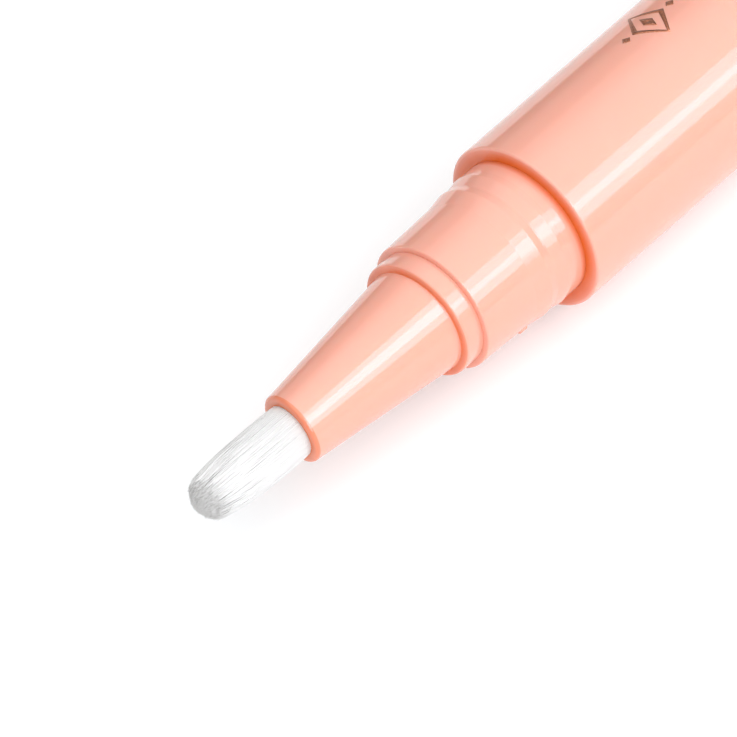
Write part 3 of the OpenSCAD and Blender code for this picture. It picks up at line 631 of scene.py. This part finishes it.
def flutes(stations, radii, angles):
    """Cuts a ball's path: the ball's height over the distance to its line, less what stays above."""
    spacing = 2 * np.pi / FLUTES
    across = (np.mod(angles + spacing / 2, spacing) - spacing / 2) * barrel_r
    beyond = np.maximum(np.abs(stations - flute_middle) - flute_half, 0)
    ball = np.sqrt(np.maximum(FLUTE_R**2 - across**2 - beyond**2, 0))
    outer = radii > barrel_r - 2 * FLUTE_DEPTH
    return stations, radii - np.where(outer, np.maximum(ball - (FLUTE_R - FLUTE_DEPTH), 0), 0)


print(f"{FLUTES} flutes, {2 * flute_half:.1f} mm long and {FLUTE_DEPTH} mm deep")

# %% [markdown]
# ## Knob
# The knob is one moulding: a boss with a groove for the seal goes into the barrel, a web joins it to
# the grip, and a hub holds the drive sleeve. A thin shell could be thickened into it, but its walls
# differ, and one closed outline gives each of them its own thickness.

# %% Knob
BOSS_R, SLEEVE_R, HUB_R = BORE_R - 0.2, 3.5, 4.27
POCKET_R = disc_r + FIT
SEAL_DEPTH, DISC_SEAT, WEB = 0.56, 0.22, 2
FLUTE_COLUMNS = 20
knob = turned("knob_grip", [
    (boss_front, SLEEVE_R + FIT, 0.05),
    (boss_front, BOSS_R, 0.1),
    *groove("knob_seal", BOSS_R, BOSS_R - SEAL_DEPTH),
    (knob_front, BOSS_R, 0.05),
    (knob_front, barrel_r, JOINT_EDGE),
    (knob_rear, barrel_r, 0.5),
    (knob_rear, POCKET_R, 0.04),
    (disc_front, POCKET_R, 0.04),
    (disc_front, POCKET_R - DISC_SEAT, 0.04),
    (knob_front + WEB, POCKET_R - DISC_SEAT, 0.1),
    (knob_front + WEB, HUB_R, 0.1),
    (disc_front, HUB_R, 0.1),
    (disc_front, SLEEVE_R + FIT, 0.05),
], columns=FLUTES * FLUTE_COLUMNS, step=0.25, shape=flutes)
dress(knob, knob_plastic, "knob_body", "peach_knob", "knob")

# %% [markdown]
# ## End disc
# A flat disc snaps into the knob's rear and closes it. It could be part of the knob, but it is a
# piece of its own on the real pen. The outer edge is rounded a little, which shows as a fine groove
# between disc and knob.

# %% End disc
disc = turned("knob_cover", [
    (disc_front, 0, 0),
    (disc_front, disc_r, 0.05),
    (knob_rear, disc_r, 0.15),
    (knob_rear, 0, 0),
], closed=False)
dress(disc, barrel_plastic, "knob_body", "peach_plastic", "knob_end_disc")

# %% [markdown]
# ## Cap
# The cap is a plain tube with a closed, rounded end, as wide as the barrel. Its bore has a step that
# the liner rests on. An outline that starts and ends on the axis makes the closed end and the hollow
# in one go, with no wall to thicken afterwards.

# %% Cap
CAP_BORE_R, CAP_FRONT_R = liner_r + FIT, barrel_r - 1.5
STEP_DEPTH, END_WALL = 20, 1.8
cap_step = cap_mouth - STEP_DEPTH
cap = turned("cap_tube", [
    (cap_end, 0, 0),
    (cap_end, barrel_r, 0.5),
    (cap_mouth, barrel_r, EDGE),
    (cap_mouth, CAP_BORE_R, 0.1),
    (cap_step, CAP_BORE_R, 0.05),
    (cap_step, CAP_FRONT_R, 0.05),
    (cap_end + END_WALL, CAP_FRONT_R, 0.3),
    (cap_end + END_WALL, 0, 0),
], closed=False)
dress(cap, barrel_plastic, "cap_body", "peach_plastic", "cap_shell")

# %% [markdown]
# ## The small inner parts
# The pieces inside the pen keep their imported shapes, because those are already right. A new mesh
# would add nothing, so each gets only the finish of its real material: milky or clear mouldings,
# white engineering plastic, grey acetal, and dark rubber for the seals.

# %% Finishes of the inner parts
GRAIN_SIZE, GRAIN_DEPTH = 0.4, 0.004


def moulded(name, light, deep, roughness, **plain):
    """Plain moulded plastic or rubber: fine grain in colour, gloss and height."""
    finish = Finish(name, **plain)
    grain = finish.noise(GRAIN_SIZE)
    finish.feed("Base Color", finish.blend(grain, deep, light))
    finish.feed("Roughness", roughness + 0.1 * grain)
    finish.feed("Normal", finish.bump(finish.noise(GRAIN_SIZE / 2), GRAIN_DEPTH))
    return finish.material


FINISHES = {
    "clear_plastic": moulded("clear_plastic", (0.86, 0.88, 0.9), (0.8, 0.83, 0.86), 0.18,
                             Transmission_Weight=0.55, IOR=1.49),
    "white_plastic": moulded("white_plastic", (0.9, 0.9, 0.88), (0.86, 0.86, 0.84), 0.3,
                             Subsurface_Weight=0.3, Subsurface_Scale=0.5 * MM),
    "grey_plastic": moulded("grey_plastic", (0.36, 0.38, 0.4), (0.31, 0.33, 0.35), 0.35),
    "seal_rubber": moulded("seal_rubber", (0.1, 0.105, 0.11), (0.07, 0.075, 0.08), 0.5),
}

for subpart in frame["record"]["subparts"]:
    slot = subpart["material_slot"]
    if slot in FINISHES:
        for holder in frame["nodes"][subpart["node"]].material_slots:
            holder.link = "OBJECT"
            holder.material = FINISHES[slot]
print("inner finishes:", ", ".join(FINISHES))

# %% [markdown]
# ## Liner
# Inside the cap a white liner closes over the nozzle, so that the oil can't dry out or leak. A
# straight sleeve would be simpler, but the real one follows the nozzle and leaves little air round
# it. So its taper's length is worked out from the cone's own slope, and both always stay parallel.

# %% Liner
LINER_BORE_R, CONE_SPACE, COLLAR_SPACE = 3.0, 0.5, 0.12
RECESS, LINER_END_WALL = 1.15, 0.9
liner_shoulder, shoulder_r = liner_mouth - RECESS, cone_rear_r + CONE_SPACE
liner_taper = (shoulder_r - LINER_BORE_R) / cone_slope
liner = turned("cap_lining", [
    (liner_end, 0, 0),
    (liner_end, CAP_FRONT_R - FIT, 0.2),
    (cap_step + FIT, CAP_FRONT_R - FIT, 0.03),
    (cap_step + FIT, liner_r, 0.03),
    (liner_mouth, liner_r, 0.1),
    (liner_mouth, collar_r + COLLAR_SPACE, 0.15),
    (liner_shoulder, collar_r + COLLAR_SPACE, 0.05),
    (liner_shoulder, shoulder_r, 0.08),
    (liner_shoulder - liner_taper, LINER_BORE_R, 1.0),
    (liner_end + LINER_END_WALL, LINER_BORE_R, 0.3),
    (liner_end + LINER_END_WALL, 0, 0),
], closed=False)
dress(liner, FINISHES["white_plastic"], "cap_body", "white_plastic", "cap_liner")

# %% [markdown]
# ## Brush
# The brush is a tuft of fine white nylon filaments, each about a tenth of a millimetre thick. It is
# bound at the root, fills the nozzle's mouth, swells a little beyond it and draws in toward a ragged,
# blunt tip. Blender's hair could grow it, but hair doesn't become a mesh that can be exported as it
# is. So the filaments' middle lines are worked out first, all at once, as one array: the golden angle
# spreads them evenly over the tuft, and small random amounts make them wave, stray and end unevenly.

# %% Filament lines
FILAMENTS, FILAMENT_R = 2300, 0.048
GOLDEN_ANGLE = np.pi * (3 - np.sqrt(5))
INSIDE, NEAR_LIP = 2.7, 0.6
AHEAD = [-INSIDE, -NEAR_LIP, 0, NEAR_LIP, 3.6, 5.6, 7.1, 7.9, 8.31]
TUFT_R = [1.55, 1.84, 1.86, 1.92, 1.9, 1.8, 1.54, 1.36, 1.26]
DOME, DOME_SHARE = 1.15, 0.85
RAGGED, MOST_RAGGED = 0.36, 1.2
LEAN, LEAN_ASIDE, LEAN_UP = 0.22, 0.867, 0.499
WAVE, FEWEST_WAVES, MOST_WAVES = 0.03, 1.5, 4
FREE_RINGS = 7
STRAY_SHARE, STRAY, SPLAY = 0.15, 0.2, 0.035
rng = np.random.default_rng(7)

order = np.arange(FILAMENTS)
spread = np.sqrt((order + 0.5) / FILAMENTS)
bearing = order * GOLDEN_ANGLE
dome = DOME * (1 - np.sqrt(1 - DOME_SHARE * spread**2))
short_by = dome + np.minimum(np.abs(rng.normal(0, RAGGED, FILAMENTS)), MOST_RAGGED)
trim = brush_tip + FIT + short_by
root_rings = np.array([brush_root, lip_front + INSIDE, lip_front + NEAR_LIP, lip_front - NEAR_LIP])
free_rings = 1 - (1 - np.linspace(0, 1, FREE_RINGS + 1)[1:]) ** 2


def filament_lines():
    """Filament centres, as an array of filaments by rings by station, +Y offset and +Z offset.

    A filament keeps its bearing and its share of the tuft's radius, which follows a few measured
    places. Toward the tip the tuft leans a little to one side. Every filament waves by a few
    hundredths of a millimetre, and some stray outward near the tip."""
    free = root_rings[-1] + free_rings[None] * (trim - root_rings[-1])[:, None]
    station = np.hstack([np.broadcast_to(root_rings, (FILAMENTS, len(root_rings))), free])
    ahead = lip_front - station
    reach = np.clip(ahead / (lip_front - brush_tip), 0, 1)
    phase = rng.uniform(0, 2 * np.pi, (2, FILAMENTS, 1))
    waves = rng.uniform(FEWEST_WAVES, MOST_WAVES, (FILAMENTS, 1))
    wave = WAVE * np.sqrt(reach) * np.sin(phase + waves * np.pi * reach)
    strays = rng.random(FILAMENTS) < STRAY_SHARE
    stray = np.where(strays, rng.uniform(0, STRAY, FILAMENTS), 0)[:, None]
    splay = rng.normal(0, SPLAY, (FILAMENTS, 1))
    radius = spread[:, None] * (np.interp(ahead, AHEAD, TUFT_R) - FILAMENT_R)
    radius = radius + stray * reach**4 + splay * reach**2
    lean = LEAN * reach**2
    return np.stack([
        station,
        radius * np.sin(bearing)[:, None] + lean * LEAN_ASIDE + wave[0],
        radius * np.cos(bearing)[:, None] + lean * LEAN_UP + wave[1],
    ], -1)


lines = filament_lines()
print(f"{FILAMENTS} filaments, the shortest {short_by.max():.2f} mm short of the tip")

# %% [markdown]
# ## Bristles
# Each line becomes a thin tube with a blunt point. Curves with a bevel would do that too, but this
# many tubes are made faster as one array of filaments, rings and sides. Four sides are enough,
# because smooth shading hides the corners of so thin a tube. The nylon's noise is stretched along
# the brush, so that neighbouring filaments differ a little in tone.

# %% Bristles
SIDES = 4
TIP_THICKNESS = [0.85, 0.6, 0.15]
rings = lines.shape[1]
thickness = FILAMENT_R * np.array([1] * (rings - len(TIP_THICKNESS)) + TIP_THICKNESS)
corner_angle = np.linspace(0, 2 * np.pi, SIDES, endpoint=False)
tube = np.stack([0 * corner_angle, np.sin(corner_angle), np.cos(corner_angle)], -1)
skin = lines[:, :, None] + thickness[None, :, None, None] * tube[None, None]
skin = skin * MM + np.array(RIM)
index = np.arange(FILAMENTS * rings * SIDES).reshape(FILAMENTS, rings, SIDES)
here, along = index[:, :-1], index[:, 1:]
walls = np.stack([here, np.roll(here, -1, 2), np.roll(along, -1, 2), along], -1).reshape(-1, 4)
tips, roots = index[:, -1], index[:, 0, ::-1]
bristles = new_piece("bristles", skin.reshape(-1, 3), np.vstack([walls, tips, roots]).tolist())

NYLON_SHADE, NYLON_LIGHT = (0.77, 0.77, 0.763), (0.81, 0.81, 0.805)
TONE_SIZE, ALONG_BRUSH = 0.15, (0.05, 1, 1)
nylon = Finish("nylon", IOR=1.5)
tone = nylon.noise(TONE_SIZE, nylon.place(ALONG_BRUSH))
nylon.feed("Base Color", nylon.blend(tone, NYLON_SHADE, NYLON_LIGHT))
nylon.feed("Roughness", 0.35 + 0.2 * tone)
dress(bristles, nylon.material, "barrel_body", "filament", "brush_tuft")

# %% [markdown]
# ## Foil ornament
# The barrel bears a small ornament in copper foil, hot-stamped lengthwise: an open lozenge round a
# small solid one, with lesser lozenges before and behind. It could be a pattern in the material, but
# foil has an edge that catches light. So each lozenge is a closed loop of foil: a diamond drawn on
# the barrel and carried round with a flat, thin cross-section, partly sunk in the skin.

# %% Lozenge
FOIL_MIDDLE, FOIL_ANGLE = 14.35, np.radians(21)
FOIL_OVER, FOIL_UNDER = 0.012, -0.02
FOIL_COLUMNS = 48


def lozenge(middle, outer, inner):
    """Grid of a diamond loop on the barrel, by four corners of its cross-section.

    A turn about the middle by angle a reaches, along and across, the half sizes times cos a and
    sin a, over |cos a| + |sin a|. The outer half sizes hold for two corners, and the inner ones for
    the other two."""
    a = np.linspace(0, 2 * np.pi, FOIL_COLUMNS, endpoint=False)[None, :]
    half = np.array([outer, outer, inner, inner])[..., None]
    lift = np.array([FOIL_UNDER, FOIL_OVER, FOIL_OVER, FOIL_UNDER])[:, None]
    reach = half / (np.abs(np.cos(a)) + np.abs(np.sin(a)))
    along, across = reach[:, 0] * np.cos(a), reach[:, 1] * np.sin(a)
    return around(middle + along, barrel_r + lift, FOIL_ANGLE + across / barrel_r)


print(f"foil {FOIL_OVER} mm proud of the barrel")

# %% [markdown]
# ## Stamp the foil
# The ornament is five loops in one mesh, because one stamp presses them all. A row of the list gives
# a loop's place along the barrel, its outer half sizes along and across, and its inner ones. A solid
# lozenge is a loop round a hole too small to see, so that one formula makes them all.

# %% Foil
SPECK = 0.002
motifs = [
    (0, (1.5, 1.9), (1.05, 1.62)),
    (0, (0.42, 0.8), (SPECK, SPECK)),
    (-2.1, (0.35, 0.35), (SPECK, SPECK)),
    (2.1, (0.35, 0.35), (SPECK, SPECK)),
    (3.1, (0.5, 0.22), (SPECK, SPECK)),
]
grids = np.stack([lozenge(FOIL_MIDDLE + along, outer, inner) for along, outer, inner in motifs])
index = np.arange(grids[..., 0].size).reshape(grids.shape[:3])
foil_faces = [face for loop in index for face in grid_faces(loop, True)]
foil = new_piece("foil_ornament", grids.reshape(-1, 3), foil_faces)

COPPER_SHADE, COPPER_LIGHT = (0.2, 0.06, 0.03), (0.6, 0.26, 0.15)
MOTTLE_SIZE = 0.12
copper = Finish("copper_foil", Metallic=0.85)
mottle = copper.noise(MOTTLE_SIZE)
copper.feed("Base Color", copper.blend(mottle, COPPER_SHADE, COPPER_LIGHT))
copper.feed("Roughness", 0.25 + 0.3 * mottle)
foil.data.materials.append(copper.material)
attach(foil, "barrel_body")
print("foil loops:", len(motifs))

# %% [markdown]
# ## Table
# The pen lies on a wide white table, which ends a hand's width behind it. The dimmer room beyond that
# edge shows in the skin that faces that way. More light would make the table whiter, but the pen too.
# So the table only looks different to the rays that see it: to the camera, through clear matter and
# in mirror images it has a faint glow, which keeps its shadows as light and as neutral as in the
# photograph, while the light that it throws on the pen stays that of plain white paint.

# %% Table
TABLE, TABLE_REAR = 3.0, 0.11
TABLE_COLOUR = (0.9, 0.9, 0.9)
SEEN_COLOUR, SEEN_GLOW = (0.76, 0.71, 0.71), (0.265, 0.335, 0.345)


def for_rays(network, *kinds):
    """1 for rays of these kinds and 0 for the others."""
    first, *others = (network.node("ShaderNodeLightPath", output=f"Is {kind} Ray") for kind in kinds)
    return sum(others, first)


corners = [(-TABLE, -TABLE, 0), (TABLE, -TABLE, 0), (TABLE, TABLE_REAR, 0), (-TABLE, TABLE_REAR, 0)]
table = new_piece("table", corners, [(0, 1, 2, 3)])
paint = Finish("table_paint", Roughness=0.9, Emission_Strength=1)
seen = for_rays(paint, "Camera", "Transmission", "Glossy")
paint.feed("Base Color", paint.blend(seen, TABLE_COLOUR, SEEN_COLOUR))
paint.feed("Emission Color", paint.blend(seen, (0, 0, 0), SEEN_GLOW))
table.data.materials.append(paint.material)
print(f"table {2 * TABLE:.0f} m wide, ending {TABLE_REAR} m behind the pen's axis")

# %% [markdown]
# ## Lamps
# Long soft boxes beside the pen draw the bright bands along it. Real ones would light the table as
# well and wash out its shadows. These show in reflections only, so that each band can be placed by
# itself. A lamp is given by what the pen sees of it: how far its ends lean along the pen, and between
# which two bearings it lies round the pen. Two wide, dim lamps put a faint haze on the whole skin.
# The others are strips, and over each lies a narrower core, a little nearer to the pen, which adds
# to it, so a band has a bright middle and softer sides.

# %% Lamps
REACH, CORE_REACH = 0.6, 0.59
STRIP_COLOUR, HAZE_COLOUR = (0.95, 0.92, 1.15), (1.0, 0.93, 0.95)


def strip_light(name, leans, bearings, radiance, reach, colour):
    """A long soft light parallel to the pen, which only shows in reflections.

    Its ends lean toward +X and its sides turn from +Y over the top toward -Y by the given degrees."""
    start, end = reach * np.tan(np.radians(leans))
    first, last = np.radians(bearings)
    middle, width = (first + last) / 2, 2 * reach * np.tan((last - first) / 2)
    lamp = bpy.data.lights.new(name, "AREA")
    lamp.shape, lamp.size, lamp.size_y = "RECTANGLE", end - start, width
    lamp.energy = radiance * np.pi * (end - start) * width
    lamp.color = colour
    lit = bpy.data.objects.new(name, lamp)
    away, side = Vector((0, np.cos(middle), np.sin(middle))), Vector((1, 0, 0))
    lit.matrix_world = Matrix.Translation(RIM + away * reach + side * (start + end) / 2) @ (
        Matrix((side, away.cross(side), away)).transposed().to_4x4()
    )
    bpy.context.scene.collection.objects.link(lit)
    lit.visible_camera = lit.visible_diffuse = False


WHOLE, OVER_BARREL, OVER_CONE, OVER_RINGS = (-55, 65), (22, 43), (14.8, 22), (-25, 14.8)
LAMPS = [
    ("overhead", WHOLE, (42, 123), 0.8, REACH, HAZE_COLOUR),
    ("far_fall_off", WHOLE, (12, 42), 0.3, REACH, HAZE_COLOUR),
    ("barrel_strip", OVER_BARREL, (123, 160), 3.5, REACH, STRIP_COLOUR),
    ("barrel_core", OVER_BARREL, (138, 147), 3.0, CORE_REACH, STRIP_COLOUR),
    ("cone_strip", OVER_CONE, (110, 154), 3.5, REACH, STRIP_COLOUR),
    ("cone_core", OVER_CONE, (122, 140), 4.2, CORE_REACH, STRIP_COLOUR),
    ("ring_strip", OVER_RINGS, (120, 163), 3.5, REACH, STRIP_COLOUR),
    ("ring_core", OVER_RINGS, (132, 150), 3.0, CORE_REACH, STRIP_COLOUR),
]
for lamp in LAMPS:
    strip_light(*lamp)
print("lamps:", ", ".join(name for name, *_ in LAMPS))

# %% [markdown]
# ## Room
# The light that models the pen is one wide soft source over the near side. A big area lamp could give
# it, with a hard edge in every mirror image. Here it is the room's own brightness, which falls off
# smoothly to the far side, so the pen's far side stays deeper in tone. The camera, and what it sees
# through clear matter, finds the room plain white. Mirror images keep the fall-off, but never show
# it brighter than white.

# %% Room
KEY_SIDE = Vector((-0.1, -0.46, 0.89))
DIM, BRIGHT = 0.13, 1.88
FAR_SIDE, NEAR_SIDE = 0.15, 0.92

world = bpy.data.worlds.new("room")
bpy.context.scene.world = world
world.use_nodes = True
sky = Network(world.node_tree)
toward = sky.node("ShaderNodeTexCoord", output="Generated")
facing = sky.node(
    "ShaderNodeVectorMath",
    {"operation": "DOT_PRODUCT"},
    {0: toward, 1: KEY_SIDE.normalized()},
    "Value",
)
light = sky.node("ShaderNodeMapRange", {"interpolation_type": "SMOOTHSTEP"}, {
    "Value": facing,
    "From Min": FAR_SIDE,
    "From Max": NEAR_SIDE,
    "To Min": DIM,
    "To Max": BRIGHT,
})
over_white = light.math("MAXIMUM", light - 1, 0)
light = light - for_rays(sky, "Glossy") * over_white
direct = for_rays(sky, "Camera", "Transmission")
room = world.node_tree.nodes["Background"]
world.node_tree.links.new((light * (1 - direct) + direct).socket, room.inputs["Strength"])
room.inputs["Color"].default_value = (1, 1, 1, 1)
bpy.context.scene.view_settings.view_transform = "Standard"
print(f"room from {DIM} on the far side to {BRIGHT} on the near side")
